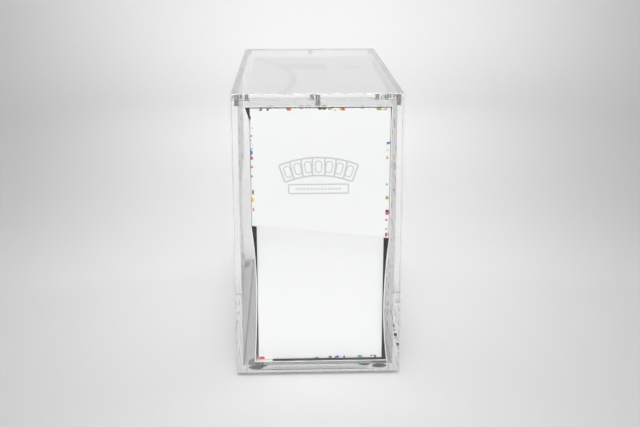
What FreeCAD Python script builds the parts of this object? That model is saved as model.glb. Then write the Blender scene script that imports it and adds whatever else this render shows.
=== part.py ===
import FreeCAD, Part

import os

import Sketcher

# A clear acrylic display case with a magnet-held lift-off lid, and in it a card storage box in its
# slip sleeve. The card box has a telescoping lid with a slanted lower edge, a base, an insert tray
# and four dividers.
#
# Frame: millimetres, +X across the narrow front, +Y from front to back, +Z up. The origin is the
# middle of the footprint, on the surface that the feet stand on.
#
# The card box sets the sizes. The sleeve takes its size from the card box, and the case from the
# sleeve, each with its own clearances.

DIMENSIONS = [
    # The card box, over its paper.
    ("box_width", 86.5),
    ("box_length", 190.0),
    ("box_height", 168.0),
    ("board_thickness", 2.0),
    ("paper_thickness", 0.3),
    ("edge_round", 0.5),
    # The lid is shallower on the left, so its lower edge slants across the front.
    ("lid_depth_left", 75.0),
    ("lid_depth_right", 84.0),
    ("lid_play", 0.5),
    # The insert tray and the dividers.
    ("insert_board", 1.0),
    ("insert_clearance", 0.4),
    ("insert_height", 100.0),
    ("well_depth", 30.0),
    ("notch_radius", 12.0),
    ("divider_thickness", 0.8),
    ("divider_clearance", 0.6),
    ("divider_headroom", 4.0),
    ("divider_round", 3.0),
    ("divider_pitch", 29.0),
    ("tab_width", 18.0),
    ("tab_height", 7.0),
    # The slip sleeve. It is slack round the box, which lies near its right side, and its two sides
    # bow in until they touch the base at these heights. Its bottom is narrower than its top by the
    # two tapers, and corner_drop is the height over which its sides lean out to the top corners.
    ("sleeve_board", 0.6),
    ("sleeve_slack", 3.4),
    ("right_gap", 0.6),
    ("left_taper", 3.5),
    ("right_taper", 0.7),
    ("corner_drop", 9.0),
    ("sleeve_headroom", 0.8),
    ("sleeve_clearance", 0.2),
    ("left_touch_height", 52.0),
    ("right_touch_height", 38.0),
    # The clear case. The sleeve stands nearer to its right wall.
    ("left_clearance", 3.65),
    ("right_clearance", 2.25),
    ("end_clearance", 4.0),
    ("top_clearance", 5.0),
    ("wall_thickness", 4.0),
    ("base_thickness", 4.0),
    ("case_lid_thickness", 4.0),
    ("edge_break", 0.4),
    ("rest_gap", 0.1),
    # The magnets and the feet.
    ("magnet_diameter", 3.0),
    ("magnet_length", 3.2),
    ("magnet_clearance", 0.05),
    ("magnet_inset", 3.5),
    ("foot_diameter", 10.0),
    ("foot_height", 2.0),
    ("foot_round", 0.7),
    ("foot_inset", 12.0),
]

# Sizes worked out from the sheet, as expressions.
BASE_WIDTH = (
    "(Sizes.box_width - 2 * (Sizes.paper_thickness + Sizes.board_thickness + Sizes.lid_play))"
)
BASE_LENGTH = (
    "(Sizes.box_length - 2 * (Sizes.paper_thickness + Sizes.board_thickness + Sizes.lid_play))"
)
BASE_HEIGHT = (
    "(Sizes.box_height - Sizes.paper_thickness - Sizes.board_thickness - Sizes.rest_gap)"
)
SHELL = "(Sizes.paper_thickness + Sizes.board_thickness)"
INSERT_WIDTH = f"({BASE_WIDTH} - 2 * {SHELL} - 2 * Sizes.insert_clearance)"
INSERT_LENGTH = f"({BASE_LENGTH} - 2 * {SHELL} - 2 * Sizes.insert_clearance)"
SLEEVE_SHIFT = "((Sizes.left_clearance - Sizes.right_clearance) / 2)"
BOX_IN_SLEEVE = "(Sizes.sleeve_slack / 2 - Sizes.right_gap)"
BOX_SHIFT = f"({SLEEVE_SHIFT} + {BOX_IN_SLEEVE})"
SLEEVE_WIDTH = "(Sizes.box_width + Sizes.sleeve_slack + 2 * Sizes.sleeve_board)"
SLEEVE_HEIGHT = "(Sizes.box_height + Sizes.sleeve_headroom + 2 * Sizes.sleeve_board)"
INNER_WIDTH = f"({SLEEVE_WIDTH} + Sizes.left_clearance + Sizes.right_clearance)"
INNER_LENGTH = "(Sizes.box_length + 2 * Sizes.end_clearance)"
INNER_HEIGHT = f"({SLEEVE_HEIGHT} + Sizes.top_clearance)"
CASE_WIDTH = f"({INNER_WIDTH} + 2 * Sizes.wall_thickness)"
CASE_LENGTH = f"({INNER_LENGTH} + 2 * Sizes.wall_thickness)"
WALL_HEIGHT = f"(Sizes.base_thickness + {INNER_HEIGHT} - Sizes.rest_gap)"

# Heights above the surface that the case stands on.
BASE_TOP = "(Sizes.foot_height + Sizes.base_thickness)"
WALL_TOP = f"(Sizes.foot_height + {WALL_HEIGHT})"
LID_BOTTOM = f"({WALL_TOP} + Sizes.rest_gap)"
SLEEVE_BOTTOM = f"({BASE_TOP} + Sizes.rest_gap)"
BOX_BOTTOM = f"({SLEEVE_BOTTOM} + Sizes.sleeve_board + Sizes.rest_gap)"
INSERT_BOTTOM = f"({BOX_BOTTOM} + {SHELL} + Sizes.rest_gap)"
WELL_FLOOR = f"({INSERT_BOTTOM} + Sizes.insert_height - Sizes.well_depth)"
DIVIDER_BOTTOM = f"({WELL_FLOOR} + Sizes.rest_gap)"
DIVIDER_HEIGHT = (
    f"({BOX_BOTTOM} + Sizes.box_height - {SHELL} - Sizes.divider_headroom - {DIVIDER_BOTTOM})"
)

# Magnet centres: three along each end wall and one in the middle of each side wall.
MAGNET_SIDE = f"({CASE_WIDTH} / 2 - Sizes.magnet_inset)"
MAGNET_END = f"({CASE_LENGTH} / 2 - Sizes.wall_thickness / 2)"
MAGNET_MIDDLE = f"({CASE_WIDTH} / 2 - Sizes.wall_thickness / 2)"
MAGNET_CENTRES = [
    (f"-{MAGNET_SIDE}", f"-{MAGNET_END}"),
    ("0", f"-{MAGNET_END}"),
    (MAGNET_SIDE, f"-{MAGNET_END}"),
    (f"-{MAGNET_MIDDLE}", "0"),
    (MAGNET_MIDDLE, "0"),
    (f"-{MAGNET_SIDE}", MAGNET_END),
    ("0", MAGNET_END),
    (MAGNET_SIDE, MAGNET_END),
]
MAGNET_RADIUS = "Sizes.magnet_diameter / 2"
POCKET_RADIUS = "(Sizes.magnet_diameter / 2 + Sizes.magnet_clearance)"
POCKET_DEPTH = "(Sizes.magnet_length + 2 * Sizes.magnet_clearance)"

DIVIDERS_PER_WELL = 2
# A cut that takes away less than this volume has missed, and points this close are the same.
LEAST_CUT = 0.01
TOUCH = 1e-6


def fill_sheet(doc):
    """Makes the sheet that holds every driving size."""
    sheet = doc.addObject("Spreadsheet::Sheet", "Sizes")
    for row, (alias, size) in enumerate(DIMENSIONS, start=1):
        sheet.set(f"A{row}", alias)
        sheet.set(f"B{row}", str(size))
        sheet.setAlias(f"B{row}", alias)
    doc.recompute()


def number(item, expression):
    """The present value of an expression, as a plain number."""
    return float(item.evalExpression(expression))


def new_body(doc, label, x="0", y="0", z="0"):
    """Starts one piece, placed by three expressions."""
    body = doc.addObject("PartDesign::Body", label)
    body.Label = label
    for axis, expression in zip("xyz", (x, y, z)):
        body.setExpression(f".Placement.Base.{axis}", expression)
    return body


def new_sketch(body, name, role, lift=None):
    """A sketch on one of the body's own origin planes, raised along its normal by lift."""
    sketch = body.newObject("Sketcher::SketchObject", name)
    plane = next(feature for feature in body.Origin.OriginFeatures if feature.Role == role)
    sketch.AttachmentSupport = [(plane, "")]
    sketch.MapMode = "FlatFace"
    if lift:
        sketch.setExpression(".AttachmentOffset.Base.z", lift)
    return sketch


def bind(sketch, constraint, expression):
    """Adds a size to the sketch and ties it to an expression."""
    index = sketch.addConstraint(constraint)
    sketch.setExpression(f"Constraints[{index}]", expression)


def hold(sketch, geometry, end, x, y):
    """Ties one point of the sketch to the origin by two expressions."""
    for way, expression in (("DistanceX", x), ("DistanceY", y)):
        size = number(sketch, expression)
        bind(sketch, Sketcher.Constraint(way, -1, 1, geometry, end, size), expression)


def side_curve(start, end, bulge):
    """A straight side, or an arc that bulges to the left of the way along it by the given amount."""
    if not bulge:
        return Part.LineSegment(start, end)
    along = end - start
    leftward = FreeCAD.Vector(-along.y, along.x, 0).normalize()
    return Part.Arc(start, (start + end) / 2 + leftward * bulge, end)


def outline(sketch, corners, arcs=None):
    """Draws a closed outline. corners holds a pair of expressions for each corner. arcs gives, for
    the side that starts at a corner, its radius and +1 or -1 for a bulge to its left or right."""
    arcs = arcs or {}
    points = [FreeCAD.Vector(number(sketch, x), number(sketch, y), 0) for x, y in corners]
    sides = []
    for index, start in enumerate(points):
        end = points[(index + 1) % len(points)]
        bulge = 0.0
        if index in arcs:
            radius = number(sketch, arcs[index][0])
            half_chord = start.distanceToPoint(end) / 2
            bulge = arcs[index][1] * (radius - (radius**2 - half_chord**2) ** 0.5)
        side = sketch.addGeometry(side_curve(start, end, bulge), False)
        first, last = sketch.getPoint(side, 1), sketch.getPoint(side, 2)
        forwards = first.distanceToPoint(start) < last.distanceToPoint(start)
        sides.append((side, (1, 2) if forwards else (2, 1)))
    for index, (side, ends) in enumerate(sides):
        following, following_ends = sides[(index + 1) % len(sides)]
        sketch.addConstraint(
            Sketcher.Constraint("Coincident", side, ends[1], following, following_ends[0])
        )
        hold(sketch, side, ends[0], *corners[index])
        if index in arcs:
            radius = number(sketch, arcs[index][0])
            bind(sketch, Sketcher.Constraint("Radius", side, radius), arcs[index][0])


def box_corners(width, length, x="0", y="0"):
    """The corners of a rectangle about a centre."""
    return [
        (f"{x} - {width} / 2", f"{y} - {length} / 2"),
        (f"{x} + {width} / 2", f"{y} - {length} / 2"),
        (f"{x} + {width} / 2", f"{y} + {length} / 2"),
        (f"{x} - {width} / 2", f"{y} + {length} / 2"),
    ]


def circles(sketch, centres, radius):
    """Draws equal circles about the given centres."""
    for x, y in centres:
        centre = FreeCAD.Vector(number(sketch, x), number(sketch, y), 0)
        size = number(sketch, radius)
        circle = sketch.addGeometry(Part.Circle(centre, FreeCAD.Vector(0, 0, 1), size), False)
        hold(sketch, circle, 3, x, y)
        bind(sketch, Sketcher.Constraint("Radius", circle, size), radius)


def pad(body, sketch, length, both_ways=False):
    """Raises a sketch into a solid."""
    feature = body.newObject("PartDesign::Pad", f"{body.Name}_pad")
    feature.Profile = sketch
    feature.SideType = "Symmetric" if both_ways else "One side"
    feature.setExpression("Length", length)
    body.Document.recompute()
    return feature


def pocket(body, sketch, depth, upward=False, both_ways=False):
    """Cuts a sketch into the body, and makes sure that it took something away."""
    before = body.Tip.Shape.Volume
    feature = body.newObject("PartDesign::Pocket", f"{sketch.Name}_cut")
    feature.Profile = sketch
    feature.SideType = "Symmetric" if both_ways else "One side"
    feature.Reversed = upward
    feature.setExpression("Length", depth)
    body.Document.recompute()
    if before - feature.Shape.Volume < LEAST_CUT:
        raise RuntimeError(f"{feature.Name} cuts nothing from {body.Label}")
    return feature


def edge_names(shape, wanted):
    """The names of the edges whose middle and direction pass the test."""
    names = []
    for index, edge in enumerate(shape.Edges, start=1):
        middle = edge.valueAt((edge.FirstParameter + edge.LastParameter) / 2)
        way = edge.tangentAt((edge.FirstParameter + edge.LastParameter) / 2)
        if wanted(middle, way):
            names.append(f"Edge{index}")
    if not names:
        raise RuntimeError("no edge passes the test")
    return names


def dress(body, kind, size_name, size, wanted):
    """Chamfers or fillets the wanted edges of the body as it stands."""
    base = body.Tip
    feature = body.newObject(f"PartDesign::{kind}", f"{body.Name}_{kind.lower()}")
    feature.Base = (base, edge_names(base.Shape, wanted))
    feature.setExpression(size_name, size)
    body.Document.recompute()
    return feature


def plate(doc, label, width, length, height, x="0", y="0", z="0"):
    """A rectangular panel that stands on its own origin."""
    body = new_body(doc, label, x, y, z)
    sketch = new_sketch(body, f"{label}_outline", "XY_Plane")
    outline(sketch, box_corners(width, length))
    pad(body, sketch, height)
    return body


def magnet_pockets(body, centres, lift=None, upward=False):
    """Drills blind magnet pockets into a panel."""
    sketch = new_sketch(body, f"{body.Name}_pockets", "XY_Plane", lift)
    circles(sketch, centres, POCKET_RADIUS)
    pocket(body, sketch, POCKET_DEPTH, upward=upward)


def end_panel(doc, label, side):
    """The front or back wall. It is as wide as the case and covers the ends of the side walls."""
    centre = f"{side} * ({CASE_LENGTH} - Sizes.wall_thickness) / 2"
    body = plate(
        doc, label, CASE_WIDTH, "Sizes.wall_thickness", WALL_HEIGHT, y=centre, z="Sizes.foot_height"
    )
    outside = side * number(body, "Sizes.wall_thickness") / 2
    dress(body, "Chamfer", "Size", "Sizes.edge_break", lambda at, way: abs(at.y - outside) < TOUCH)
    magnet_pockets(body, [(f"-{MAGNET_SIDE}", "0"), ("0", "0"), (MAGNET_SIDE, "0")], WALL_HEIGHT)
    return body


def side_panel(doc, label, side):
    """The left or right wall, between the two end walls."""
    centre = f"{side} * ({CASE_WIDTH} - Sizes.wall_thickness) / 2"
    body = plate(
        doc, label, "Sizes.wall_thickness", INNER_LENGTH, WALL_HEIGHT, x=centre, z="Sizes.foot_height"
    )
    outside = side * number(body, "Sizes.wall_thickness") / 2
    dress(
        body,
        "Chamfer",
        "Size",
        "Sizes.edge_break",
        lambda at, way: abs(at.x - outside) < TOUCH and abs(way.y) > 0.9,
    )
    magnet_pockets(body, [("0", "0")], WALL_HEIGHT)
    return body


def case_base(doc):
    """The floor of the case, inside the four walls."""
    return plate(
        doc, "base_panel", INNER_WIDTH, INNER_LENGTH, "Sizes.base_thickness", z="Sizes.foot_height"
    )


def case_lid(doc):
    """The loose flat lid, with a broken edge all round and pockets on its underside."""
    body = plate(doc, "lid_panel", CASE_WIDTH, CASE_LENGTH, "Sizes.case_lid_thickness", z=LID_BOTTOM)
    dress(body, "Chamfer", "Size", "Sizes.edge_break", lambda at, way: True)
    magnet_pockets(body, MAGNET_CENTRES, upward=True)
    return body


def magnets(doc, label, bottom):
    """Eight round magnets, upright in their pockets."""
    body = new_body(doc, label, z=bottom)
    sketch = new_sketch(body, f"{label}_circles", "XY_Plane")
    circles(sketch, MAGNET_CENTRES, MAGNET_RADIUS)
    pad(body, sketch, "Sizes.magnet_length")
    return body


def bumper_feet(doc):
    """Four soft round feet under the corners of the case."""
    body = new_body(doc, "bumper_feet")
    sketch = new_sketch(body, "feet_circles", "XY_Plane")
    across = f"({CASE_WIDTH} / 2 - Sizes.foot_inset)"
    along = f"({CASE_LENGTH} / 2 - Sizes.foot_inset)"
    centres = [(f"{i} * {across}", f"{j} * {along}") for i in (-1, 1) for j in (-1, 1)]
    circles(sketch, centres, "Sizes.foot_diameter / 2")
    pad(body, sketch, "Sizes.foot_height")
    dress(
        body,
        "Fillet",
        "Radius",
        "Sizes.foot_round",
        lambda at, way: abs(at.z) < TOUCH and abs(way.z) < 0.1,
    )
    return body


def sleeve_side(side, taper, touch_height, lid_depth):
    """The corners of one side of the sleeve from the bottom up, and the radii of its two arcs.

    The side leaves the bottom corner, curves in until it touches the base, curves out to the
    lid's lower edge, runs up the lid's side and leans out to the top corner."""
    shift = f"{side} * {BOX_IN_SLEEVE}"
    skin = "Sizes.sleeve_clearance + Sizes.sleeve_board"
    corner = f"({SLEEVE_WIDTH} / 2)"
    foot = f"({corner} - {taper})"
    touch = f"({BASE_WIDTH} / 2 + {shift} + {skin})"
    edge = f"(Sizes.box_width / 2 + {shift} + {skin})"
    edge_height = f"(Sizes.sleeve_board + Sizes.rest_gap + Sizes.box_height - {lid_depth})"
    above = f"({edge_height} - {touch_height})"
    lean_height = f"({SLEEVE_HEIGHT} - Sizes.corner_drop)"
    points = [
        (foot, "0"),
        (touch, touch_height),
        (edge, edge_height),
        (edge, lean_height),
        (corner, SLEEVE_HEIGHT),
    ]
    lower_radius = f"({touch_height}^2 + ({foot} - {touch})^2) / (2 * ({foot} - {touch}))"
    upper_radius = f"({above}^2 + ({edge} - {touch})^2) / (2 * ({edge} - {touch}))"
    return points, (lower_radius, upper_radius)


def slip_sleeve(doc):
    """A four-sided paperboard loop, open at both narrow ends, with slack sides that bow in."""
    body = new_body(doc, "slip_sleeve", x=SLEEVE_SHIFT, z=SLEEVE_BOTTOM)
    right, right_radii = sleeve_side(
        1,
        "Sizes.right_taper",
        "Sizes.right_touch_height",
        "Sizes.lid_depth_right",
    )
    left, left_radii = sleeve_side(
        -1,
        "Sizes.left_taper",
        "Sizes.left_touch_height",
        "Sizes.lid_depth_left",
    )
    board = "Sizes.sleeve_board"
    loops = {
        "outside": ("0", ["0", "0", "0", "0", "0"]),
        "inside": (board, [board, "0", "0", "0", f"-{board}"]),
    }
    arcs = {
        0: (right_radii[0], 1),
        1: (right_radii[1], 1),
        7: (left_radii[1], 1),
        8: (left_radii[0], 1),
    }
    for name, (inset, lifts) in loops.items():
        up = [(f"{x} - {inset}", f"{z} + {lift}") for (x, z), lift in zip(right, lifts)]
        down = [(f"{inset} - {x}", f"{z} + {lift}") for (x, z), lift in zip(left, lifts)]
        sketch = new_sketch(body, f"sleeve_{name}", "XZ_Plane")
        outline(sketch, [*up, *reversed(down)], arcs)
        if name == "outside":
            pad(body, sketch, "Sizes.box_length", both_ways=True)
        else:
            pocket(body, sketch, "Sizes.box_length", both_ways=True)
    return body


def round_edges(body, closed_end):
    """Rounds the upright edges of a wrapped box and the edges of its closed end, at a height."""
    dress(
        body,
        "Fillet",
        "Radius",
        "Sizes.edge_round",
        lambda at, way: abs(way.z) > 0.99 or abs(at.z - closed_end) < TOUCH,
    )


def lid_layer(doc, label, outer_inset, inner_inset, rounded):
    """One layer of the card box's lid, between two insets from the outside of its paper.

    Its own origin is the middle of the lid's top. Its mouth keeps one slanted line at any inset."""
    top = f"({BOX_BOTTOM} + Sizes.box_height)"
    body = new_body(doc, label, x=BOX_SHIFT, z=top)
    slope = "((Sizes.lid_depth_right - Sizes.lid_depth_left) / Sizes.box_width)"
    half = f"(Sizes.box_width / 2 - {outer_inset})"
    corners = [
        (f"-{half}", f"-(Sizes.lid_depth_left + {slope} * {outer_inset})"),
        (half, f"-(Sizes.lid_depth_right - {slope} * {outer_inset})"),
        (half, f"-{outer_inset}"),
        (f"-{half}", f"-{outer_inset}"),
    ]
    sketch = new_sketch(body, f"{label}_outline", "XZ_Plane")
    outline(sketch, corners)
    pad(body, sketch, f"Sizes.box_length - 2 * {outer_inset}", both_ways=True)
    if rounded:
        round_edges(body, 0)
    inner_half = f"(Sizes.box_width / 2 - {inner_inset})"
    below = "(Sizes.lid_depth_left + Sizes.lid_depth_right)"
    inside = [
        (f"-{inner_half}", f"-{below}"),
        (inner_half, f"-{below}"),
        (inner_half, f"-{inner_inset}"),
        (f"-{inner_half}", f"-{inner_inset}"),
    ]
    sketch = new_sketch(body, f"{label}_inside", "XZ_Plane")
    outline(sketch, inside)
    pocket(body, sketch, f"Sizes.box_length - 2 * {inner_inset}", both_ways=True)
    return body


def base_layer(doc, label, outer_inset, inner_inset, rounded):
    """One layer of the card box's base, between two insets from the outside of its paper."""
    bottom = f"({BOX_BOTTOM} + {outer_inset})"
    body = plate(
        doc,
        label,
        f"({BASE_WIDTH} - 2 * {outer_inset})",
        f"({BASE_LENGTH} - 2 * {outer_inset})",
        f"({BASE_HEIGHT} - {outer_inset})",
        x=BOX_SHIFT,
        z=bottom,
    )
    if rounded:
        round_edges(body, 0)
    sketch = new_sketch(body, f"{label}_inside", "XY_Plane", f"{BASE_HEIGHT} - {outer_inset}")
    width = f"({BASE_WIDTH} - 2 * {inner_inset})"
    length = f"({BASE_LENGTH} - 2 * {inner_inset})"
    outline(sketch, box_corners(width, length))
    pocket(body, sketch, f"{BASE_HEIGHT} - {inner_inset}")
    return body


def insert_tray(doc):
    """A folded tray that stands on the base's floor, with two raised wells for cards."""
    body = plate(
        doc,
        "insert_tray",
        INSERT_WIDTH,
        INSERT_LENGTH,
        "Sizes.insert_height",
        x=BOX_SHIFT,
        z=INSERT_BOTTOM,
    )
    inner_width = f"({INSERT_WIDTH} - 2 * Sizes.insert_board)"
    well_length = f"(({INSERT_LENGTH} - 3 * Sizes.insert_board) / 2)"
    well_centre = f"(({well_length} + Sizes.insert_board) / 2)"
    wells = new_sketch(body, "tray_wells", "XY_Plane", "Sizes.insert_height")
    for side in (-1, 1):
        outline(wells, box_corners(inner_width, well_length, y=f"{side} * {well_centre}"))
    pocket(body, wells, "Sizes.well_depth")
    under = new_sketch(body, "tray_underside", "XY_Plane")
    outline(under, box_corners(inner_width, f"({INSERT_LENGTH} - 2 * Sizes.insert_board)"))
    under_depth = "Sizes.insert_height - Sizes.well_depth - Sizes.insert_board"
    pocket(body, under, under_depth, upward=True)
    notch = new_sketch(body, "finger_notch", "XZ_Plane")
    circles(notch, [("0", "Sizes.insert_height")], "Sizes.notch_radius")
    pocket(body, notch, "3 * Sizes.insert_board", both_ways=True)
    return body


def divider(doc, index):
    """One card divider with an index tab. The tabs step from left to right, front to back."""
    count = 2 * DIVIDERS_PER_WELL
    side = -1 if index < DIVIDERS_PER_WELL else 1
    place = index if side < 0 else count - 1 - index
    centre = f"{side} * {DIVIDERS_PER_WELL - place} * Sizes.divider_pitch"
    body = new_body(doc, f"divider_{index + 1}", x=BOX_SHIFT, y=centre, z=DIVIDER_BOTTOM)
    inner_width = f"({INSERT_WIDTH} - 2 * Sizes.insert_board)"
    half = f"({inner_width} / 2 - Sizes.divider_clearance)"
    tab_step = f"((2 * {half} - Sizes.tab_width) / {count - 1})"
    tab_left = f"({index} * {tab_step} - {half})"
    tab_right = f"({tab_left} + Sizes.tab_width)"
    shoulder = f"({DIVIDER_HEIGHT} - Sizes.tab_height)"
    corners = [(f"-{half}", "0"), (half, "0")]
    if index < count - 1:
        corners += [(half, shoulder), (tab_right, shoulder)]
    corners += [(tab_right, DIVIDER_HEIGHT), (tab_left, DIVIDER_HEIGHT)]
    if index > 0:
        corners += [(tab_left, shoulder), (f"-{half}", shoulder)]
    sketch = new_sketch(body, f"{body.Name}_outline", "XZ_Plane")
    outline(sketch, corners)
    pad(body, sketch, "Sizes.divider_thickness", both_ways=True)
    top = number(body, DIVIDER_HEIGHT)
    dress(
        body,
        "Fillet",
        "Radius",
        "Sizes.divider_round",
        lambda at, way: abs(way.y) > 0.9 and abs(at.z - top) < TOUCH,
    )
    return body


def build(doc):
    """Makes every piece of the object."""
    fill_sheet(doc)
    gap = "Sizes.magnet_clearance"
    wall_magnet_bottom = f"({WALL_TOP} - {gap} - Sizes.magnet_length)"
    return [
        case_base(doc),
        end_panel(doc, "front_panel", -1),
        end_panel(doc, "back_panel", 1),
        side_panel(doc, "left_panel", -1),
        side_panel(doc, "right_panel", 1),
        case_lid(doc),
        magnets(doc, "wall_magnets", wall_magnet_bottom),
        magnets(doc, "lid_magnets", f"({LID_BOTTOM} + {gap})"),
        bumper_feet(doc),
        slip_sleeve(doc),
        lid_layer(doc, "lid_wrap", "0", "Sizes.paper_thickness", rounded=True),
        lid_layer(doc, "lid_board", "Sizes.paper_thickness", SHELL, rounded=False),
        base_layer(doc, "base_wrap", "0", "Sizes.paper_thickness", rounded=True),
        base_layer(doc, "base_board", "Sizes.paper_thickness", SHELL, rounded=False),
        insert_tray(doc),
        *[divider(doc, index) for index in range(2 * DIVIDERS_PER_WELL)],
    ]


def check(doc, pieces):
    """Stops if any object failed or any piece has no sound shape."""
    doc.recompute()
    for item in doc.Objects:
        if {"Invalid", "Error"} & set(item.State):
            raise RuntimeError(f"{item.Label} failed: {item.State}")
    for piece in pieces:
        if piece.Shape.isNull() or not piece.Shape.isValid():
            raise RuntimeError(f"{piece.Label} has no sound shape")


def write(pieces):
    """Writes each piece to its own STEP file."""
    os.makedirs("parts", exist_ok=True)
    for piece in pieces:
        piece.Shape.exportStep(f"parts/{piece.Label}.step")
        print(f"{piece.Label}: {len(piece.Shape.Solids)} solids, {piece.Shape.Volume:.1f} mm3")


document = FreeCAD.newDocument("card_box_case")
all_pieces = build(document)
check(document, all_pieces)
write(all_pieces)
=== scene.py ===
import math

import bmesh
import bpy
from mathutils import Matrix, Vector


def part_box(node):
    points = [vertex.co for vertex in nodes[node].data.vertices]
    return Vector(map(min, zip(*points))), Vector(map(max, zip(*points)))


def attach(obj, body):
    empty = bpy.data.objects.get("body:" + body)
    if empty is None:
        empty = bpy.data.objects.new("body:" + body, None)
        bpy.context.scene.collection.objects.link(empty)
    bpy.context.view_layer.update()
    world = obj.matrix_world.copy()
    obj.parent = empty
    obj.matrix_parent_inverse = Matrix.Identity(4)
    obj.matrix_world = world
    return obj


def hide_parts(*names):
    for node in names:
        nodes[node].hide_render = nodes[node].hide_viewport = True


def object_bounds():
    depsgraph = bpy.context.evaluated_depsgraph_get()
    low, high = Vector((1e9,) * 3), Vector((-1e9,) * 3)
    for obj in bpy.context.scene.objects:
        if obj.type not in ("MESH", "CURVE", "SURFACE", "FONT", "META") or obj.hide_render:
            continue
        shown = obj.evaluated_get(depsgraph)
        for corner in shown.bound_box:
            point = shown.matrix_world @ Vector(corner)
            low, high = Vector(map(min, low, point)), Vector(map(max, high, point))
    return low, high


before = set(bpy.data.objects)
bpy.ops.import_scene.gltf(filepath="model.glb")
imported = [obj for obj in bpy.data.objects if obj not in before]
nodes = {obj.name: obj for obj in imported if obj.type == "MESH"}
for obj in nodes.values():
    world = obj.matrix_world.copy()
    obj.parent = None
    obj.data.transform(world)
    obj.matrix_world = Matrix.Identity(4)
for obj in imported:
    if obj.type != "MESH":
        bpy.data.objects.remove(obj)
cad_low, cad_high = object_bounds()

# Sizes and places are in metres, as in the frame. Angles are in degrees until they are used.
WRAP_ROUGHNESS = (0.42, 0.58)
SLEEVE_ROUGHNESS = (0.30, 0.42)
SLEEVE_COAT = 0.15
# Black of the print's ink, also used as painted shade on the box base's long sides.
INK_AND_SHADE_BLACK = (0.012, 0.012, 0.014)
PRINT_INKS = [
    INK_AND_SHADE_BLACK, (0.62, 0.035, 0.03), (0.72, 0.24, 0.02), (0.86, 0.58, 0.03),
    (0.02, 0.13, 0.42), (0.02, 0.36, 0.40), (0.20, 0.09, 0.03), (0.30, 0.31, 0.05),
    (0.50, 0.06, 0.22), INK_AND_SHADE_BLACK,
]
DIVIDER_TINTS = [(0.55, 0.06, 0.05, 1), (0.75, 0.45, 0.04, 1), (0.05, 0.22, 0.48, 1), (0.04, 0.36, 0.30, 1)]


# ---------------------------------------------------------------- finishes

class Finish:
    """One surface finish: a material, with short ways to add what it is mixed from."""

    def __init__(self, name):
        self.material = bpy.data.materials.new(name)
        self.material.use_nodes = True
        self.tree = self.material.node_tree
        self.skin = self.tree.nodes["Principled BSDF"]
        self.place = self.add("TexCoord").outputs["Object"]

    def add(self, kind, inputs=None, **settings):
        """A shader node, with its settings made and its sockets fed."""
        node = self.tree.nodes.new("ShaderNode" + kind)
        for name, value in settings.items():
            setattr(node, name, value)
        for key, value in (inputs or {}).items():
            self.feed(node.inputs[key], value)
        return node

    def feed(self, socket, value):
        """Links another node's output to a socket, or writes a constant on it."""
        if isinstance(value, bpy.types.NodeSocket):
            self.tree.links.new(value, socket)
        else:
            socket.default_value = value

    def set(self, **values):
        """Skin sockets by name, with _ for a space."""
        for name, value in values.items():
            self.feed(self.skin.inputs[name.replace("_", " ")], value)
        return self

    def maths(self, operation, a, b):
        return self.add("Math", {0: a, 1: b}, operation=operation).outputs[0]

    def both(self, *masks):
        """Where every mask is."""
        total = masks[0]
        for mask in masks[1:]:
            total = self.maths("MULTIPLY", total, mask)
        return total

    def either(self, *masks):
        """Where any mask is."""
        total = masks[0]
        for mask in masks[1:]:
            total = self.maths("MAXIMUM", total, mask)
        return total

    def outside(self, mask):
        """Where a mask isn't."""
        return self.maths("SUBTRACT", 1.0, mask)

    def ramp(self, value, low, high, out_low=0.0, out_high=1.0):
        """value from low to high becomes out_low to out_high, held at both ends."""
        node = self.add("MapRange", {
            "Value": value, "From Min": low, "From Max": high,
            "To Min": out_low, "To Max": out_high,
        })
        return node.outputs["Result"]

    def below(self, value, low, high):
        """1 up to low, fading to 0 at high."""
        return self.ramp(value, low, high, 1.0, 0.0)

    def between(self, value, low, high, soft=0.00005):
        """1 where low < value < high."""
        up = self.ramp(value, low - soft, low + soft)
        return self.both(up, self.below(value, high - soft, high + soft))

    def spread(self, noise, low=0.0, high=1.0):
        """The middle span of a noise becomes low to high."""
        return self.ramp(noise, 0.3, 0.7, low, high)

    def blend(self, share, a, b):
        """Colour a where share is 0, colour b where it is 1."""
        node = self.add("Mix", data_type="RGBA")
        for index, value in ((0, share), (6, a), (7, b)):
            self.feed(node.inputs[index], value)
        return node.outputs[2]

    def grey(self, tone, blue=None):
        """A colour of one tone, whose blue may be set apart."""
        parts = {0: tone, 1: tone, 2: tone if blue is None else blue}
        return self.add("CombineColor", parts).outputs[0]

    def moved(self, shift=(0, 0, 0), turn=(0, 0, 0), stretch=(1, 1, 1)):
        """The piece's own place, stretched, turned and shifted for a pattern."""
        turn = [math.radians(angle) for angle in turn]
        return self.add("Mapping", {
            "Vector": self.place, "Location": shift, "Rotation": turn, "Scale": stretch,
        }).outputs[0]

    def noise(self, scale, detail=2.0, where=None, rough=0.5):
        return self.add("TexNoise", {
            "Vector": where or self.place, "Scale": scale, "Detail": detail, "Roughness": rough,
        }).outputs["Fac"]

    def axes(self):
        parts = self.add("SeparateXYZ", {0: self.place})
        return parts.outputs[0], parts.outputs[1], parts.outputs[2]

    def bump(self, height, depth, strength=1.0):
        """Raises the skin by height, which is depth high at 1."""
        node = self.add("Bump", {"Strength": strength, "Distance": depth, "Height": height})
        self.feed(self.skin.inputs["Normal"], node.outputs[0])
        return self


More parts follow.
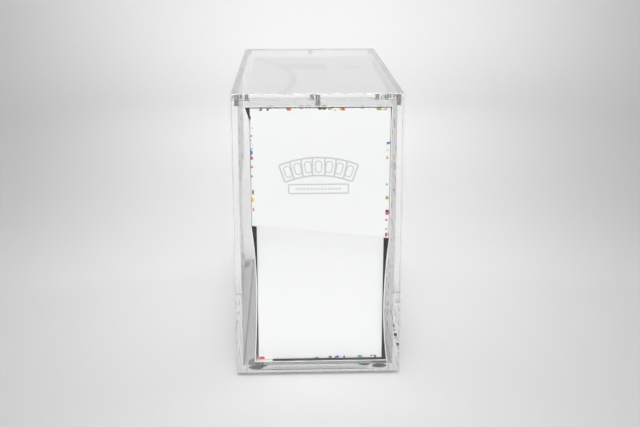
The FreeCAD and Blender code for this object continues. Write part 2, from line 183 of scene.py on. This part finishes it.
def confetti(f, ground, spacing=0.0066, size=0.0019, share=0.9):
    """Loose round, square and ring-shaped dabs of ink over a ground colour."""
    # For each layer: the dabs' outline, the pattern's shift, turn and stretch, and a share of size.
    layers = [
        ("EUCLIDEAN", (0.11, 0.07, 0.03), (12, 25, 40), (1, 1, 1), 1.0),
        ("CHEBYCHEV", (0.03, 0.13, 0.09), (35, 20, 15), (1, 1.0, 1.6), 0.75),
        ("EUCLIDEAN", (0.21, 0.02, 0.17), (60, 5, 70), (1.9, 1, 1), 0.8),
    ]
    soft = 0.00006
    ring_share = 0.6
    colour = ground
    for index, (metric, shift, turn, stretch, width) in enumerate(layers):
        cells = f.add("TexVoronoi", {
            "Vector": f.moved(shift, turn, stretch), "Scale": 1 / spacing, "Randomness": 0.9,
        }, distance=metric)
        scaled = f.maths("MULTIPLY", cells.outputs["Distance"], spacing)
        dab = f.below(scaled, size * width - soft, size * width + soft)
        pick = f.add("SeparateColor", {0: cells.outputs["Color"]})
        kept = f.maths("LESS_THAN", pick.outputs[1], share)
        if index == 0:
            hole = f.ramp(scaled, size * 0.45, size * 0.5)
            ring = f.maths("GREATER_THAN", pick.outputs[2], ring_share)
            dab = f.both(dab, f.either(hole, f.outside(ring)))
        inks = f.add("ValToRGB", {0: pick.outputs[0]})
        inks.color_ramp.interpolation = "CONSTANT"
        stops = inks.color_ramp.elements
        while len(stops) < len(PRINT_INKS):
            stops.new(1.0)
        for number, ink in enumerate(PRINT_INKS):
            stops[number].position = number / len(PRINT_INKS)
            stops[number].color = (*ink, 1)
        colour = f.blend(f.both(dab, kept), colour, inks.outputs[0])
    return colour


def clear_acrylic(name, seed):
    """Polished cast sheet: clear, with hair scratches and a trace of handling haze."""
    f = Finish(name)
    haze = f.ramp(f.noise(9, 3, f.moved((seed, 0, 0))), 0.5, 0.75)
    hairs = f.noise(900, 1, f.moved((seed, 0, 0), (20, 35, 10), (1, 0.02, 1)))
    scratch = f.ramp(hairs, 0.70, 0.76)
    rough = f.maths("ADD", f.maths("MULTIPLY", haze, 0.006), f.maths("MULTIPLY", scratch, 0.03))
    f.set(Base_Color=(1, 1, 1, 1), Transmission_Weight=1.0, IOR=1.491, Roughness=rough)
    f.bump(f.noise(14, 1, f.moved((seed, 0, 0))), 0.00002, 0.25)
    # Light that runs down inside a wall is mostly lost before it leaves by the bottom edge.
    rim = 0.0045
    x, y, z = f.axes()
    under = f.below(z, cad_low[2] + 0.0024, cad_low[2] + 0.0026)
    middle = f.both(
        f.between(x, cad_low[0] + rim, cad_high[0] - rim),
        f.between(y, cad_low[1] + rim, cad_high[1] - rim),
    )
    edge = f.both(under, f.outside(middle))
    passing = f.blend(edge, (0.93, 0.935, 0.935, 1), (0.22, 0.22, 0.22, 1))
    # Lamp light and soft light cross the sheet unbent. All other light bends in it.
    through = f.add("BsdfTransparent", {0: passing}).outputs[0]
    ray = f.add("LightPath").outputs
    soft = f.add("MixShader", {0: ray["Is Diffuse Ray"], 1: f.skin.outputs[0], 2: through})
    pick = f.add("MixShader", {0: ray["Is Shadow Ray"], 1: soft.outputs[0], 2: through})
    f.feed(f.tree.nodes["Material Output"].inputs[0], pick.outputs[0])
    return f.material


def nickel(name):
    """Nickel plate on the magnets: a turned sheen with small rubs."""
    f = Finish(name)
    rings = f.noise(2600, 2, f.moved(stretch=(1, 1, 0.15)))
    rubs = f.ramp(f.noise(700, 4), 0.45, 0.7)
    f.set(
        Base_Color=f.blend(rubs, (0.50, 0.49, 0.46, 1), (0.30, 0.28, 0.24, 1)),
        Metallic=1.0,
        Roughness=f.spread(rings, 0.16, 0.38),
    )
    return f.bump(rings, 0.00002, 0.4).material


def bumper_gel(name):
    """Clear soft bumper, slightly clouded, with dust on its rim."""
    f = Finish(name)
    cloud = f.noise(500, 3)
    dust = f.ramp(f.noise(2600, 2), 0.6, 0.75)
    f.set(
        Base_Color=f.blend(dust, (0.80, 0.81, 0.82, 1), (0.50, 0.50, 0.50, 1)),
        Transmission_Weight=0.75,
        IOR=1.47,
        Roughness=f.spread(cloud, 0.05, 0.14),
    )
    return f.bump(cloud, 0.00003, 0.5).material


def adhesive(name):
    """Acrylic adhesive film under the clear floor: grey, with small trapped bubbles."""
    f = Finish(name)
    bubbles = f.add("TexVoronoi", {"Vector": f.place, "Scale": 1400.0}, feature="F1").outputs["Distance"]
    spots = f.below(bubbles, 0.10, 0.22)
    f.set(
        Base_Color=f.blend(spots, (0.26, 0.26, 0.255, 1), (0.50, 0.50, 0.50, 1)),
        Roughness=f.ramp(bubbles, 0.1, 0.5, 0.25, 0.45),
    )
    return f.material


def paper_grain(f, depth=0.00002):
    """Raises the fibres of paper or card, and gives them back for its tone."""
    fibres = f.noise(2200, 5, f.moved(turn=(10, 5, 30), stretch=(1, 1, 0.45)), 0.6)
    f.bump(fibres, depth, 0.5)
    return fibres


def white_paper(f, fibres, bright=0.90):
    """White ground of the printed paper, a little uneven."""
    tone = f.ramp(fibres, 0.25, 0.75, bright - 0.02, bright + 0.015)
    return f.grey(tone, f.maths("MULTIPLY", tone, 0.995))


def worn_edges(f, colour, box):
    """Rubs the print lightly off along the box's long and upright edges."""
    low, high = box
    width = 0.0005
    close = []
    for value, a, b in zip(f.axes(), low, high):
        close.append(f.either(f.below(value, a, a + width), f.ramp(value, b - width, b)))
    x, y, z = close
    edge = f.either(f.both(x, y), f.both(y, z), f.both(x, z))
    patchy = f.ramp(f.noise(260, 4), 0.46, 0.66)
    return f.blend(f.maths("MULTIPLY", f.both(edge, patchy), 0.5), colour, (0.78, 0.77, 0.75, 1))


def on_ends(f, y, low, high):
    """Where the box's skin is one of its two narrow ends."""
    return f.either(
        f.below(y, low.y + 0.0001, low.y + 0.0003),
        f.ramp(y, high.y - 0.0003, high.y - 0.0001),
    )


def lid_print(name, box):
    """Printed wrap of the box lid: plain white ends inside a narrow confetti border."""
    low, high = box
    border_left, border_right, border_top = 0.0017, 0.0024, 0.0014
    f = Finish(name)
    fibres = paper_grain(f)
    ground = white_paper(f, fibres)
    x, y, z = f.axes()
    dabs = confetti(f, ground)
    inside = f.both(
        f.between(x, low.x + border_left, high.x - border_right),
        f.below(z, high.z - border_top - 0.0001, high.z - border_top),
    )
    colour = f.blend(f.both(on_ends(f, y, low, high), inside), dabs, ground)
    f.set(Base_Color=worn_edges(f, colour, box), Roughness=f.spread(fibres, *WRAP_ROUGHNESS))
    return f.material


def base_print_and_shade(name, box):
    """Printed wrap of the box base: white ends edged with confetti, long sides in near-black painted shade,
    left white towards the foot on the left half.
    """
    low, high = box
    border_foot = 0.0019
    pale_to, black_from = 0.045, 0.060
    f = Finish(name)
    fibres = paper_grain(f)
    ground = white_paper(f, fibres)
    x, y, z = f.axes()
    border = f.below(z, low.z + border_foot, low.z + border_foot + 0.0001)
    end = f.blend(border, ground, confetti(f, ground))
    # The long sides' near-black is painted shade for the dark slot between box and sleeve.
    black = f.blend(f.spread(fibres), (*INK_AND_SHADE_BLACK, 1), (0.022, 0.022, 0.026, 1))
    left_half = f.below(x, 0.0, 0.0001)
    pale_foot = f.both(left_half, f.below(z, low.z + pale_to, low.z + black_from))
    colour = f.blend(on_ends(f, y, low, high), f.blend(pale_foot, black, ground), end)
    f.set(Base_Color=worn_edges(f, colour, box), Roughness=f.spread(fibres, *WRAP_ROUGHNESS))
    return f.material


def sleeve_side_print(name):
    """Outside of the sleeve's sides and bottom: white card with loose dabs of ink."""
    f = Finish(name)
    fibres = paper_grain(f)
    colour = confetti(f, white_paper(f, fibres), spacing=0.0125, size=0.0033, share=0.8)
    f.set(Base_Color=colour, Roughness=f.spread(fibres, *SLEEVE_ROUGHNESS), Coat_Weight=SLEEVE_COAT)
    return f.material


def sleeve_top_print_and_shade(name):
    """Top of the sleeve: white painted darker than the sides' white as shade, with a broad pale arc, a bar
    and two short dashes in light grey.
    """
    f = Finish(name)
    fibres = paper_grain(f)
    # Painted shade: the top's white paper is set darker than the same card's white on its sides.
    ground = white_paper(f, fibres, 0.76)
    x, y = f.axes()[:2]
    # The arc's centre lies 199 mm to the left of the middle of the sleeve and 15 mm in front of it.
    from_centre = f.moved((0.199, 0.015, 0), stretch=(1, 1, 0))
    reach = f.add("VectorMath", {0: from_centre}, operation="LENGTH").outputs["Value"]
    shapes = f.both(f.between(reach, 0.183, 0.187, 0.0004), f.between(y, -0.075, 0.085, 0.004))
    # Each bar or dash runs from one place to another across the sleeve, then along it.
    bars = [
        ((-0.024, 0.011), (0.030, 0.056)),
        ((0.024, 0.036), (0.034, 0.044)),
        ((0.022, 0.034), (0.052, 0.058)),
    ]
    for across, along in bars:
        shapes = f.either(shapes, f.both(f.between(x, *across, 0.0006), f.between(y, *along, 0.002)))
    colour = f.blend(f.maths("MULTIPLY", shapes, 0.8), ground, (0.46, 0.46, 0.47, 1))
    front = f.below(y, -0.0930, -0.0920)
    colour = f.blend(front, colour, confetti(f, ground))
    f.set(Base_Color=colour, Roughness=f.spread(fibres, *SLEEVE_ROUGHNESS), Coat_Weight=SLEEVE_COAT)
    return f.material


def painted_shade_inside(name):
    """Inside of the sleeve: matt near-black as painted shade, which stops short of the foot on one side,
    where white paper shows.
    """
    f = Finish(name)
    fibres = paper_grain(f)
    # The near-black is painted shade for the dark gap between sleeve and box.
    black = f.blend(f.spread(fibres), (0.012, 0.012, 0.013, 1), (0.024, 0.024, 0.026, 1))
    x, _, z = f.axes()
    unshaded_foot = f.both(f.below(x, -0.030, -0.029), f.below(z, 0.056, 0.072))
    colour = f.blend(unshaded_foot, black, white_paper(f, fibres, 0.80))
    f.set(Base_Color=colour, Roughness=f.spread(fibres, 0.75, 0.9))
    return f.material


def cut_card(name):
    """Raw cut edge of white card: layered and a little fuzzy."""
    f = Finish(name)
    layers = f.noise(5200, 2, f.moved(stretch=(1, 0.2, 0.2)))
    f.set(Base_Color=f.grey(f.spread(layers, 0.80, 0.92)), Roughness=0.85)
    return f.bump(layers, 0.00004, 0.7).material


def grey_board(name):
    """Unlined grey board: pulp fibres and dark flecks."""
    f = Finish(name)
    pulp = f.noise(1500, 6, rough=0.7)
    flecks = f.ramp(f.noise(2600, 1, f.moved(stretch=(1, 0.3, 1))), 0.66, 0.74)
    base = f.blend(f.spread(pulp), (0.36, 0.34, 0.31, 1), (0.50, 0.48, 0.44, 1))
    f.set(Base_Color=f.blend(flecks, base, (0.16, 0.14, 0.12, 1)), Roughness=0.9)
    return f.bump(pulp, 0.00005, 0.6).material


def insert_card(name):
    """White folding card of the insert, softly rubbed in places."""
    f = Finish(name)
    fibres = paper_grain(f, 0.00003)
    rub = f.ramp(f.noise(60, 3), 0.45, 0.75)
    f.set(
        Base_Color=f.blend(rub, (0.78, 0.78, 0.77, 1), (0.70, 0.70, 0.69, 1)),
        Roughness=f.spread(fibres, 0.6, 0.78),
    )
    return f.material


def divider_card(name, tint, top):
    """Divider: pale card with a tinted strip across its top and tab."""
    f = Finish(name)
    fibres = paper_grain(f)
    z = f.axes()[2]
    strip = f.ramp(z, top - 0.0172, top - 0.0170)
    deeper = (*(part * 0.85 for part in tint[:3]), 1)
    ink = f.blend(f.ramp(f.noise(300, 3), 0.4, 0.8), tint, deeper)
    f.set(
        Base_Color=f.blend(strip, white_paper(f, fibres, 0.84), ink),
        Roughness=f.spread(fibres, 0.4, 0.55),
    )
    return f.material


def foil_grey(name):
    """Pale silver-grey ink of the emblem, faintly mottled."""
    f = Finish(name)
    mottle = f.noise(3000, 3)
    f.set(
        Base_Color=f.blend(f.spread(mottle), (0.56, 0.56, 0.57, 1), (0.64, 0.64, 0.65, 1)),
        Roughness=f.spread(mottle, 0.35, 0.5),
    )
    return f.bump(mottle, 0.00001, 0.3).material


def emblem_ground(name):
    """White of the emblem's blank cards and bar: the lid's own paper."""
    f = Finish(name)
    fibres = paper_grain(f)
    f.set(Base_Color=white_paper(f, fibres), Roughness=f.spread(fibres, *WRAP_ROUGHNESS))
    return f.material


def studio_paper(name):
    """Pale seamless paper for the floor and the curved wall."""
    f = Finish(name)
    tone = f.spread(f.noise(700, 4), 0.80, 0.82)
    f.set(Base_Color=f.grey(tone), Roughness=0.9)
    return f.material


# ---------------------------------------------------------------- making

def placed(name, bm):
    """A bmesh becomes an object in the scene."""
    mesh = bpy.data.meshes.new(name)
    bm.to_mesh(mesh)
    bm.free()
    piece = bpy.data.objects.new(name, mesh)
    bpy.context.scene.collection.objects.link(piece)
    return piece


def finished(name, bm, materials, body, slot, *stands_for):
    """A bmesh becomes a named piece that moves with its body."""
    piece = placed(name, bm)
    for material in materials:
        piece.data.materials.append(material)
    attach(piece, body)
    if stands_for:
        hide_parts(*stands_for)
    return piece


def merged(node):
    """A bmesh of a CAD node, its loose triangles joined."""
    bm = bmesh.new()
    bm.from_mesh(node.data)
    bmesh.ops.remove_doubles(bm, verts=bm.verts, dist=1e-6)
    return bm


def solids_of(node):
    """Lowest and highest corner of each separate solid in a CAD node."""
    bm = merged(node)
    left = set(bm.verts)
    boxes = []
    while left:
        group = set()
        fresh = [left.pop()]
        while fresh:
            vert = fresh.pop()
            group.add(vert)
            for edge in vert.link_edges:
                other = edge.other_vert(vert)
                if other in left:
                    left.remove(other)
                    fresh.append(other)
        low = Vector(min(v.co[i] for v in group) for i in range(3))
        high = Vector(max(v.co[i] for v in group) for i in range(3))
        boxes.append((low, high))
    bm.free()
    return boxes


def block(bm, low, high):
    """A block between two corners."""
    middle = [(a + b) / 2 for a, b in zip(low, high)]
    size = [b - a for a, b in zip(low, high)]
    place = Matrix.Translation(middle) @ Matrix.Diagonal((*size, 1))
    bmesh.ops.create_cube(bm, size=1, matrix=place)


def soften(bm, edges, width):
    """Breaks sharp edges, as polishing does."""
    bmesh.ops.bevel(
        bm, geom=edges, offset=width, offset_type="OFFSET", segments=2,
        profile=0.5, affect="EDGES", material=-1,
    )


def welded_tank():
    """The case's floor and four walls: solvent-welded sheets, so one clear block with a hollow."""
    polish = 0.0004
    outer_low, front_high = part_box("front_panel")
    outer_high = Vector((front_high.x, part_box("back_panel")[1].y, front_high.z))
    wall = front_high.y - outer_low.y
    floor_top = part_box("base_panel")[1].z
    bm = bmesh.new()
    block(bm, outer_low, outer_high)
    soften(bm, list(bm.edges), polish)
    rim = max(bm.faces, key=lambda face: face.calc_center_median().z)
    bmesh.ops.inset_region(bm, faces=[rim], thickness=wall - polish, use_even_offset=True)
    well = bmesh.ops.extrude_discrete_faces(bm, faces=[rim])["faces"][0]
    bmesh.ops.translate(bm, verts=well.verts, vec=(0, 0, floor_top - well.calc_center_median().z))
    bmesh.ops.recalc_face_normals(bm, faces=bm.faces)
    tank = finished(
        "case_tank", bm, [clear_acrylic("clear_acrylic", 0.0)], "case", "clear_acrylic",
        "base_panel", "front_panel", "back_panel", "left_panel", "right_panel",
    )
    bore_pockets(tank, outer_high.z)


def bore_pockets(tank, rim):
    """Blind round pockets in the rim, one round each magnet."""
    gap, overshoot = 0.00005, 0.001
    bm = bmesh.new()
    for low, high in solids_of(nodes["wall_magnets"]):
        middle = (low + high) / 2
        radius = (high.x - low.x) / 2 + gap
        depth = rim - low.z + gap
        place = Matrix.Translation((middle.x, middle.y, rim - depth / 2 + overshoot / 2))
        bmesh.ops.create_cone(
            bm, cap_ends=True, segments=40, radius1=radius, radius2=radius,
            depth=depth + overshoot, matrix=place,
        )
    bores = placed("pocket_bores", bm)
    cut = tank.modifiers.new("pockets", "BOOLEAN")
    cut.operation = "DIFFERENCE"
    cut.solver = "EXACT"
    cut.object = bores
    graph = bpy.context.evaluated_depsgraph_get()
    bored = bpy.data.meshes.new_from_object(tank.evaluated_get(graph))
    tank.modifiers.clear()
    tank.data = bored
    bpy.data.objects.remove(bores)


def printed_sleeve():
    """The slip sleeve, with its print outside, near-black painted shade inside and raw cut ends."""
    low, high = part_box("slip_sleeve")
    heart = (low + high) / 2
    side, top, inside_shaded, cut = range(4)
    finishes = [
        sleeve_side_print("sleeve_side_print"), sleeve_top_print_and_shade("sleeve_top_print_and_shade"),
        painted_shade_inside("sleeve_painted_shade"), cut_card("sleeve_cut_edge"),
    ]
    bm = merged(nodes["slip_sleeve"])
    for face in bm.faces:
        out = face.calc_center_median() - heart
        out.y = 0
        if abs(face.normal.y) > 0.9:
            face.material_index = cut
        elif out.dot(face.normal) < 0:
            face.material_index = inside_shaded
        elif face.normal.z > 0.7:
            face.material_index = top
        else:
            face.material_index = side
        face.smooth = abs(face.normal.y) < 0.9
    for edge in bm.edges:
        edge.smooth = edge.calc_face_angle(0) < math.radians(25)
    finished("printed_sleeve", bm, finishes, "card_box", "sleeve_card", "slip_sleeve")


def outlined_card(bm, width, height, line, radius, place, lift):
    """A small rounded card: white middle inside a thin drawn outline, standing proud by lift."""
    before = set(bm.verts)
    size = Matrix.Diagonal((width, height, 1, 1))
    corners = bmesh.ops.create_grid(bm, x_segments=1, y_segments=1, size=0.5, matrix=size)["verts"]
    bmesh.ops.bevel(
        bm, geom=corners, offset=radius, offset_type="OFFSET", segments=4,
        profile=0.5, affect="VERTICES", material=-1,
    )
    new = [face for face in bm.faces if not set(face.verts) & before]
    outline = bmesh.ops.inset_individual(bm, faces=new, thickness=line, use_even_offset=True)["faces"]
    for face in outline:
        face.material_index = 1
    card = [v for v in bm.verts if v not in before]
    bmesh.ops.transform(bm, matrix=place @ Matrix.Translation((0, 0, lift)), verts=card)


def end_emblem():
    """A plain fan of seven blank cards over an empty bar, drawn in pale grey on the lid's front end."""
    low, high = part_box("lid_wrap")
    middle = (low.x + high.x) / 2 - 0.0012
    upright = Matrix.Translation((middle, low.y, 0)) @ Matrix.Rotation(math.radians(90), 4, "X")
    layer = 0.00001
    # The fan turns about a pivot well below it. Its outer cards lie under its middle one.
    pivot, reach, turn_per_card = 0.0790, 0.0590, -6.3
    stacking = [-3, 3, -2, 2, -1, 1, 0]
    bar_height, dash_pitch = 0.12365, 0.0022
    dash_groups = ((-0.0145, 5), (-0.0035, 4), (0.0055, 4))
    bm = bmesh.new()
    for level, number in enumerate(stacking):
        turn = Matrix.Rotation(math.radians(turn_per_card * number), 4, "Z")
        place = upright @ Matrix.Translation((0, pivot, 0)) @ turn @ Matrix.Translation((0, reach, 0))
        outlined_card(bm, 0.0088, 0.0125, 0.00100, 0.0016, place, layer * (2 * level + 2))
        outlined_card(bm, 0.0046, 0.0078, 0.00070, 0.0018, place, layer * (2 * level + 3))
    bar = upright @ Matrix.Translation((0, bar_height, 0))
    outlined_card(bm, 0.038, 0.0067, 0.00085, 0.0010, bar, layer * 2)
    for start, count in dash_groups:
        for number in range(count):
            shift = Matrix.Translation((start + dash_pitch / 2 + number * dash_pitch, 0, 0))
            outlined_card(bm, 0.0016, 0.0012, 0.0004, 0.0005, bar @ shift, layer * 3)
    bmesh.ops.recalc_face_normals(bm, faces=bm.faces)
    for face in bm.faces:
        if face.normal.y > 0:
            face.normal_flip()
    finished(
        "end_emblem", bm, [emblem_ground("emblem_ground"), foil_grey("emblem_grey")],
        "card_box", "printed_paper",
    )


def foot_pads():
    """The adhesive discs that hold the feet, wetted onto the clear floor so that they show through it."""
    wide, narrow, thick, sunk = 0.0047, 0.0045, 0.00006, 0.00007
    bm = bmesh.new()
    for low, high in solids_of(nodes["bumper_feet"]):
        middle = (low + high) / 2
        place = Matrix.Translation((middle.x, middle.y, high.z + sunk))
        bmesh.ops.create_cone(
            bm, cap_ends=True, segments=48, radius1=wide, radius2=narrow, depth=thick, matrix=place,
        )
    finished("foot_pads", bm, [adhesive("foot_adhesive")], "case", "clear_bumper")


# ---------------------------------------------------------------- studio

def studio():
    """A flat floor that curves up into a wall all round."""
    radius, curve, tall = 0.9, 0.6, 1.9
    bends, turns = 8, 96
    points = [(0.0, 0.0), (radius, 0.0)]
    for number in range(1, bends + 1):
        angle = math.radians(90 * number / bends)
        points.append((radius + curve * math.sin(angle), curve * (1 - math.cos(angle))))
    points.append((radius + curve, tall))
    bm = bmesh.new()
    verts = [bm.verts.new((x, 0, z)) for x, z in points]
    edges = [bm.edges.new(pair) for pair in zip(verts, verts[1:])]
    bmesh.ops.spin(
        bm, geom=verts + edges, cent=(0, 0, 0), axis=(0, 0, 1), angle=math.tau,
        steps=turns, use_merge=True, use_duplicate=False,
    )
    bmesh.ops.remove_doubles(bm, verts=bm.verts, dist=1e-5)
    bmesh.ops.recalc_face_normals(bm, faces=bm.faces)
    if bm.faces[0].normal.z < 0:
        bmesh.ops.reverse_faces(bm, faces=bm.faces)
    for face in bm.faces:
        face.smooth = True
    floor = placed("studio_floor", bm)
    floor.data.materials.append(studio_paper("studio_paper"))


def hang(name, data, place, aim):
    """Hangs a lamp at place, pointing at aim. The lamp itself is out of shot."""
    light = bpy.data.objects.new(name, data)
    light.location = place
    light.rotation_euler = (Vector(aim) - Vector(place)).to_track_quat("-Z", "Y").to_euler()
    light.visible_camera = False
    light.visible_transmission = False
    bpy.context.scene.collection.objects.link(light)


def softbox(name, place, aim, size, power):
    """A broad rectangular lamp."""
    data = bpy.data.lights.new(name, "AREA")
    data.shape = "RECTANGLE"
    data.size, data.size_y = size
    data.energy = power
    hang(name, data, place, aim)


def spotlight(name, place, aim, cone, power):
    """A lamp with a cone that fades all the way to its rim."""
    data = bpy.data.lights.new(name, "SPOT")
    data.energy = power
    data.spot_size = math.radians(cone)
    data.spot_blend = 1.0
    data.shadow_soft_size = 0.22
    hang(name, data, place, aim)


def light_studio():
    """Two softboxes, a spotlight for each part of the set, and a pale sky."""
    softbox("top_softbox", (0, 0.0, 1.5), (0, 0, 0), (1.2, 1.2), 2)
    softbox("front_softbox", (0, -1.3, 0.55), (0, 0, 0.08), (1.3, 0.6), 6)
    # Name, place, aim, cone in degrees, power in watts.
    glows = [
        ("front_glow", (0, -1.3, 0.5), (0, -0.095, 0.13), 13, 112),
        ("left_glow", (-1.2, 0.35, 0.75), (0, 0, 0.09), 16, 16),
        ("right_glow", (1.2, 0.35, 0.75), (0, 0, 0.09), 16, 16),
        ("wall_glow", (0.03, -0.6, 1.2), (0.05, 1.40, 0.30), 44, 76),
        ("far_glow", (0.03, 0.45, 1.3), (0.04, 0.95, 0.05), 60, 24),
        ("middle_glow", (0.02, 0.2, 1.3), (0.02, 0.42, 0), 40, 28),
        ("near_glow", (0.0, -0.25, 1.3), (0.0, -0.02, 0), 30, 28),
    ]
    for glow in glows:
        spotlight(*glow)
    world = bpy.data.worlds.new("studio_air")
    world.use_nodes = True
    sky = world.node_tree.nodes["Background"]
    sky.inputs["Color"].default_value = (0.90, 0.905, 0.91, 1)
    sky.inputs["Strength"].default_value = 0.36
    scene = bpy.context.scene
    scene.world = world
    scene.view_settings.view_transform = "Standard"
    # Light runs a long way inside the clear sheets before it leaves them.
    bounces = 40
    scene.cycles.max_bounces = bounces
    scene.cycles.transmission_bounces = bounces
    scene.cycles.glossy_bounces = bounces


def camera():
    """Looks at the front end from a little above."""
    tilt_down, turn = 14.52, -1.98
    data = bpy.data.cameras.new("camera")
    data.lens = 52.05
    data.sensor_width = 36
    data.shift_y = -0.078
    data.clip_start = 0.02
    data.clip_end = 20
    eye = bpy.data.objects.new("camera", data)
    eye.location = (-0.0177, -0.6508, 0.2836)
    eye.rotation_euler = (math.radians(90 - tilt_down), 0, math.radians(turn))
    bpy.context.scene.collection.objects.link(eye)
    bpy.context.scene.camera = eye


# ---------------------------------------------------------------- the object

def give(name, material):
    """Puts a finish on a CAD node."""
    piece = nodes[name]
    piece.data.materials.clear()
    piece.data.materials.append(material)


camera()

welded_tank()
give("lid_panel", clear_acrylic("clear_acrylic_lid", 3.7))
magnet_plate = nickel("nickel_plate")
give("wall_magnets", magnet_plate)
give("lid_magnets", magnet_plate)
give("bumper_feet", bumper_gel("bumper_gel"))
foot_pads()

printed_sleeve()
give("lid_wrap", lid_print("lid_print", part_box("lid_wrap")))
give("base_wrap", base_print_and_shade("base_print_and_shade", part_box("base_wrap")))
end_emblem()

board = grey_board("grey_board")
give("lid_board", board)
give("base_board", board)
give("insert_tray", insert_card("insert_card"))
for number, tint in enumerate(DIVIDER_TINTS, 1):
    name = f"divider_{number}"
    give(name, divider_card(name + "_card", tint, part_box(name)[1].z))

studio()
light_studio()
